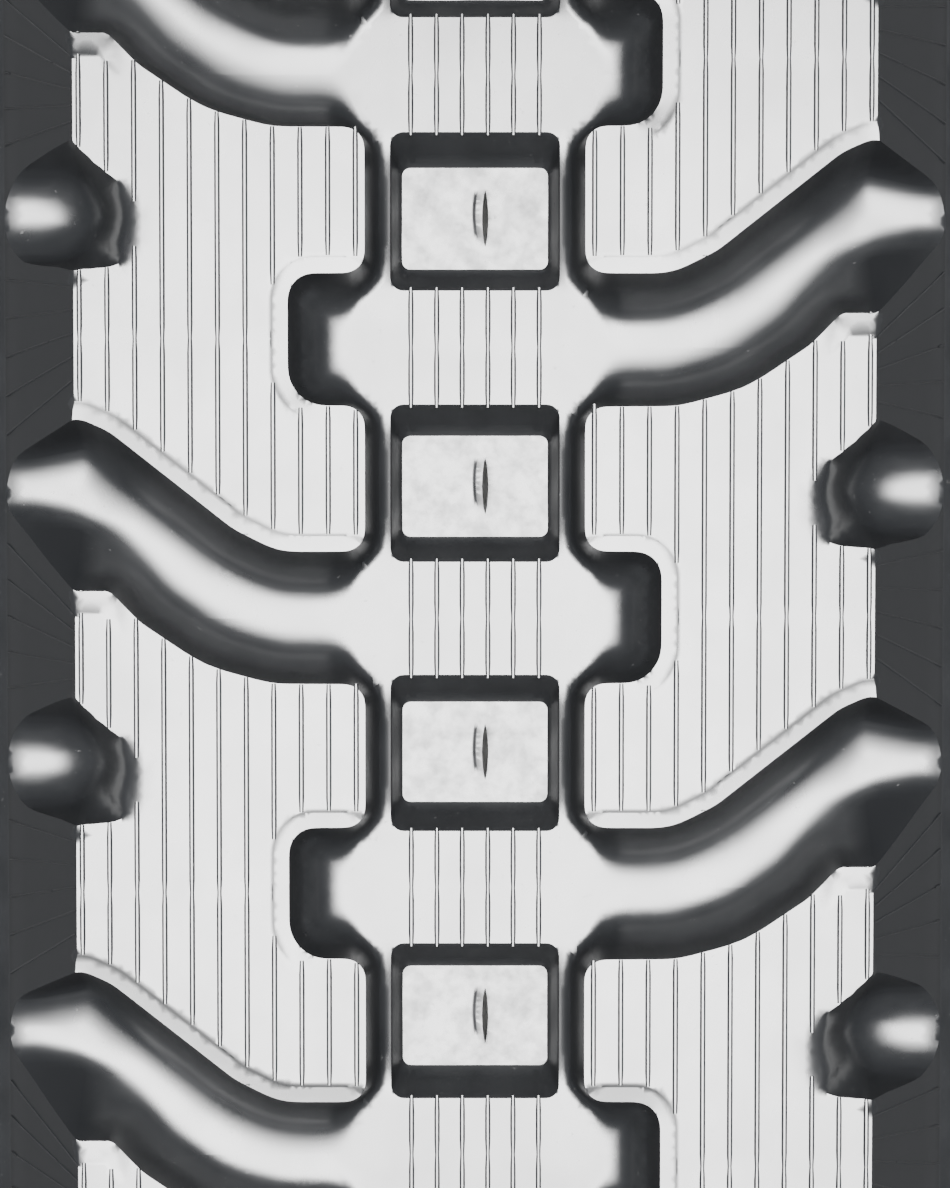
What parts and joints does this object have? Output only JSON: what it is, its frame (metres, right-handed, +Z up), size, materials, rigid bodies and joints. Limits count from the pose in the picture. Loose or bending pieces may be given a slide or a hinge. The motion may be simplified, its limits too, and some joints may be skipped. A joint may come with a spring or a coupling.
{
  "type": "rubber crawler track section",
  "caption": "Straight section of a rubber crawler track: staggered C-shaped lugs, sprocket windows, steel cores with guide horns and steel cords, hinged at each window.",
  "frame": {"origin": "under the middle link, on the centreline, at the level of the guide horn tips", "axes": "+X to the right across the track, +Y along the track, +Z up towards the ground face of the lugs"},
  "size_m": [0.32, 0.602, 0.079],
  "materials": {
    "tread_rubber": "smooth moulded black rubber, slightly glossy",
    "guide_rubber": "smooth moulded black rubber, satin",
    "film_rubber": "thin moulded rubber film, glossy, slightly uneven",
    "forged_core": "shot-blasted forged steel with dark primer",
    "steel_cord": "stranded wire, thinly brass coated"
  },
  "bodies": {
    "link_1": {"steel_core_1": "forged_core", "guide_side_rubber_1": "guide_rubber", "tread_side_rubber_1": "tread_rubber", "left_lug_1": "tread_rubber", "right_lug_1": "tread_rubber", "left_cords_1": "steel_cord", "right_cords_1": "steel_cord", "window_film_1": "film_rubber"},
    "link_2": {"steel_core_2": "forged_core", "guide_side_rubber_2": "guide_rubber", "tread_side_rubber_2": "tread_rubber", "left_lug_2": "tread_rubber", "right_lug_2": "tread_rubber", "left_cords_2": "steel_cord", "right_cords_2": "steel_cord", "window_film_2": "film_rubber"},
    "link_3": {"steel_core_3": "forged_core", "guide_side_rubber_3": "guide_rubber", "tread_side_rubber_3": "tread_rubber", "left_lug_3": "tread_rubber", "right_lug_3": "tread_rubber", "left_cords_3": "steel_cord", "right_cords_3": "steel_cord", "window_film_3": "film_rubber"},
    "link_4": {"steel_core_4": "forged_core", "guide_side_rubber_4": "guide_rubber", "tread_side_rubber_4": "tread_rubber", "left_lug_4": "tread_rubber", "right_lug_4": "tread_rubber", "left_cords_4": "steel_cord", "right_cords_4": "steel_cord", "window_film_4": "film_rubber"},
    "link_5": {"steel_core_5": "forged_core", "guide_side_rubber_5": "guide_rubber", "tread_side_rubber_5": "tread_rubber", "left_lug_5": "tread_rubber", "right_lug_5": "tread_rubber", "left_cords_5": "steel_cord", "right_cords_5": "steel_cord", "window_film_5": "film_rubber"},
    "link_6": {"steel_core_6": "forged_core", "guide_side_rubber_6": "guide_rubber", "tread_side_rubber_6": "tread_rubber", "left_lug_6": "tread_rubber", "right_lug_6": "tread_rubber", "left_cords_6": "steel_cord", "right_cords_6": "steel_cord", "window_film_6": "film_rubber"},
    "link_7": {"steel_core_7": "forged_core", "guide_side_rubber_7": "guide_rubber", "tread_side_rubber_7": "tread_rubber", "left_lug_7": "tread_rubber", "right_lug_7": "tread_rubber", "left_cords_7": "steel_cord", "right_cords_7": "steel_cord", "window_film_7": "film_rubber"}
  },
  "joints": [
    {"name": "bend_4_5", "type": "hinge", "parent": "link_4", "child": "link_5", "pos_m": [0, 0.043, 0.045], "axis": [-1, 0, 0], "range_deg": [-8, 30], "stiffness_Nm_per_rad": 2},
    {"name": "bend_5_6", "type": "hinge", "parent": "link_5", "child": "link_6", "pos_m": [0, 0.129, 0.045], "axis": [-1, 0, 0], "range_deg": [-8, 30], "stiffness_Nm_per_rad": 2},
    {"name": "bend_6_7", "type": "hinge", "parent": "link_6", "child": "link_7", "pos_m": [0, 0.215, 0.045], "axis": [-1, 0, 0], "range_deg": [-8, 30], "stiffness_Nm_per_rad": 2},
    {"name": "bend_3_4", "type": "hinge", "parent": "link_4", "child": "link_3", "pos_m": [0, -0.043, 0.045], "axis": [1, 0, 0], "range_deg": [-8, 30], "stiffness_Nm_per_rad": 2},
    {"name": "bend_2_3", "type": "hinge", "parent": "link_3", "child": "link_2", "pos_m": [0, -0.129, 0.045], "axis": [1, 0, 0], "range_deg": [-8, 30], "stiffness_Nm_per_rad": 2},
    {"name": "bend_1_2", "type": "hinge", "parent": "link_2", "child": "link_1", "pos_m": [0, -0.215, 0.045], "axis": [1, 0, 0], "range_deg": [-8, 30], "stiffness_Nm_per_rad": 2}
  ]
}
